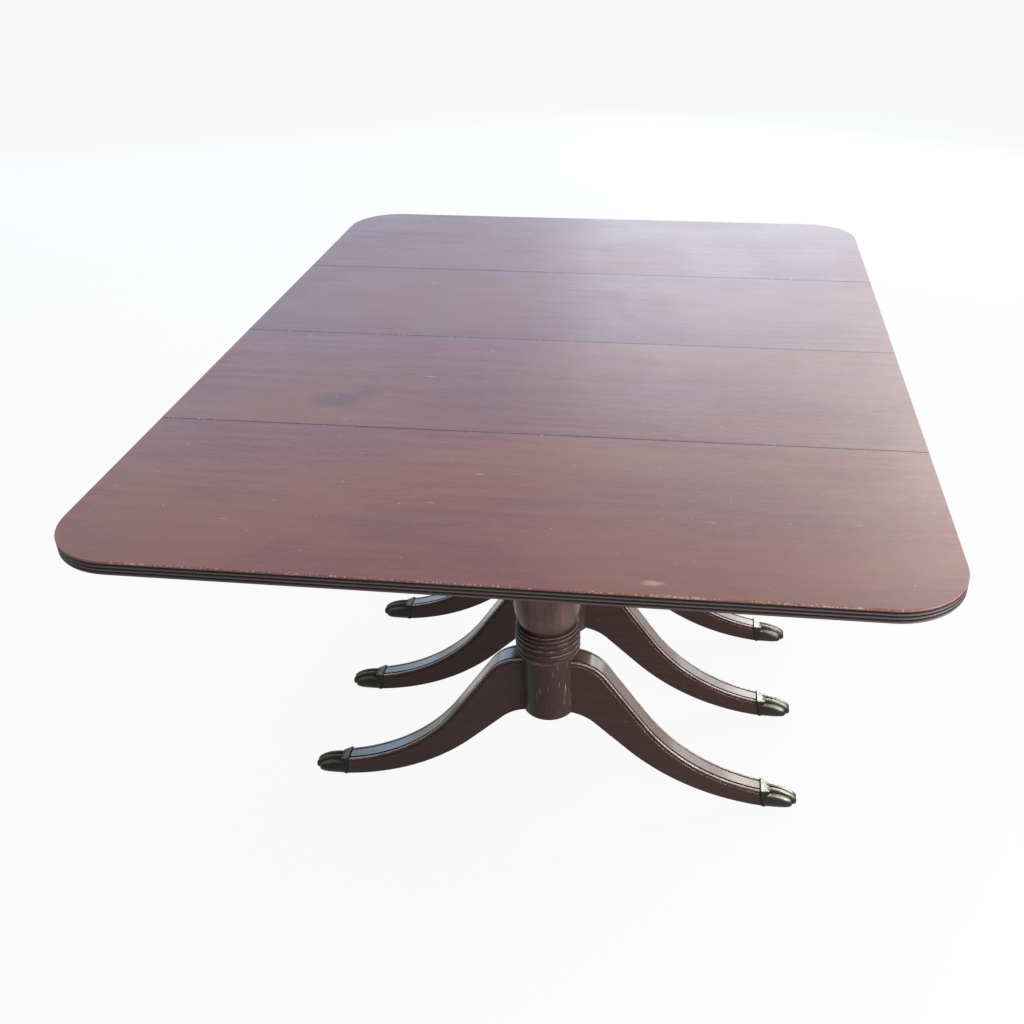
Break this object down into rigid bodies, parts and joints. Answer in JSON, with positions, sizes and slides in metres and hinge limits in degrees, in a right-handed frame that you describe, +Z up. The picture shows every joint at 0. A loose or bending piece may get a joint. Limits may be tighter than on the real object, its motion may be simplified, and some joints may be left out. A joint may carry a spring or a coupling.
{
  "type": "drop-leaf dining table",
  "caption": "Drop-leaf extension dining table with reeded, round-cornered top on a row of turned columns with swept legs ending in brass paws.",
  "frame": {"origin": "on the floor under the centre of the closed top", "axes": "+Y along the length towards the rear leaf, +X along the width to the right as seen from the front leaf, +Z up"},
  "size_m": [1.054, 1.372, 0.752],
  "materials": {
    "top_wood": "red-brown mahogany, satin, lightly worn",
    "base_wood": "dark red-brown mahogany, satin",
    "inner_wood": "plain unpolished hardwood",
    "paw_brass": "cast, worn and partly tarnished",
    "hinge_brass": "plain",
    "stay_steel": "plain",
    "screw_steel": "plain"
  },
  "bodies": {
    "centre_base": {"centre_bearer": "inner_wood", "centre_bearer_screws": "screw_steel", "centre_column": "base_wood", "centre_left_leg": "base_wood", "centre_left_paw": "paw_brass", "centre_left_slide": "inner_wood", "centre_leg_dowels": "inner_wood", "centre_right_leg": "base_wood", "centre_right_paw": "paw_brass", "centre_right_slide": "inner_wood"},
    "front_section": {"front_bearer": "inner_wood", "front_column": "base_wood", "front_end_rail": "base_wood", "front_frame_screws": "screw_steel", "front_half_top": "top_wood", "front_hinge_pins": "hinge_brass", "front_hinge_plates": "hinge_brass", "front_hinge_screws": "screw_steel", "front_left_apron": "base_wood", "front_left_leg": "base_wood", "front_left_paw": "paw_brass", "front_left_slide": "inner_wood", "front_leg_dowels": "inner_wood", "front_right_apron": "base_wood", "front_right_leg": "base_wood", "front_right_paw": "paw_brass", "front_right_slide": "inner_wood", "front_stay_guides": "stay_steel", "seam_dowels": "inner_wood"},
    "rear_section": {"rear_bearer": "inner_wood", "rear_column": "base_wood", "rear_end_rail": "base_wood", "rear_frame_screws": "screw_steel", "rear_half_top": "top_wood", "rear_hinge_pins": "hinge_brass", "rear_hinge_plates": "hinge_brass", "rear_hinge_screws": "screw_steel", "rear_left_apron": "base_wood", "rear_left_leg": "base_wood", "rear_left_paw": "paw_brass", "rear_left_slide": "inner_wood", "rear_leg_dowels": "inner_wood", "rear_right_apron": "base_wood", "rear_right_leg": "base_wood", "rear_right_paw": "paw_brass", "rear_right_slide": "inner_wood", "rear_stay_guides": "stay_steel"},
    "front_drop_leaf": {"front_leaf": "top_wood", "front_leaf_hinge_plates": "hinge_brass", "front_leaf_screws": "screw_steel", "front_stay_brackets": "stay_steel"},
    "rear_drop_leaf": {"rear_leaf": "top_wood", "rear_leaf_hinge_plates": "hinge_brass", "rear_leaf_screws": "screw_steel", "rear_stay_brackets": "stay_steel"},
    "front_stay": {"front_stay_arms": "stay_steel", "front_stay_pins": "stay_steel"},
    "rear_stay": {"rear_stay_arms": "stay_steel", "rear_stay_pins": "stay_steel"}
  },
  "joints": [
    {"name": "front_extension", "type": "slide", "parent": "centre_base", "child": "front_section", "axis": [0, -1, 0], "range_m": [0, 0.305]},
    {"name": "rear_extension", "type": "slide", "parent": "centre_base", "child": "rear_section", "axis": [0, 1, 0], "range_m": [0, 0.305]},
    {"name": "front_leaf_hinge", "type": "hinge", "parent": "front_section", "child": "front_drop_leaf", "pos_m": [0, -0.33, 0.736], "axis": [1, 0, 0], "range_deg": [0, 90]},
    {"name": "rear_leaf_hinge", "type": "hinge", "parent": "rear_section", "child": "rear_drop_leaf", "pos_m": [0, 0.33, 0.736], "axis": [-1, 0, 0], "range_deg": [0, 90]},
    {"name": "front_stay_pivot", "type": "hinge", "parent": "front_drop_leaf", "child": "front_stay", "pos_m": [0, -0.47, 0.722], "axis": [-1, 0, 0], "range_deg": [0, 52]},
    {"name": "rear_stay_pivot", "type": "hinge", "parent": "rear_drop_leaf", "child": "rear_stay", "pos_m": [0, 0.47, 0.722], "axis": [1, 0, 0], "range_deg": [0, 52]}
  ],
  "couplings": [
    {"joint": "front_stay_pivot", "follows": "front_leaf_hinge", "ratio": 0.575},
    {"joint": "rear_stay_pivot", "follows": "rear_leaf_hinge", "ratio": 0.575}
  ]
}
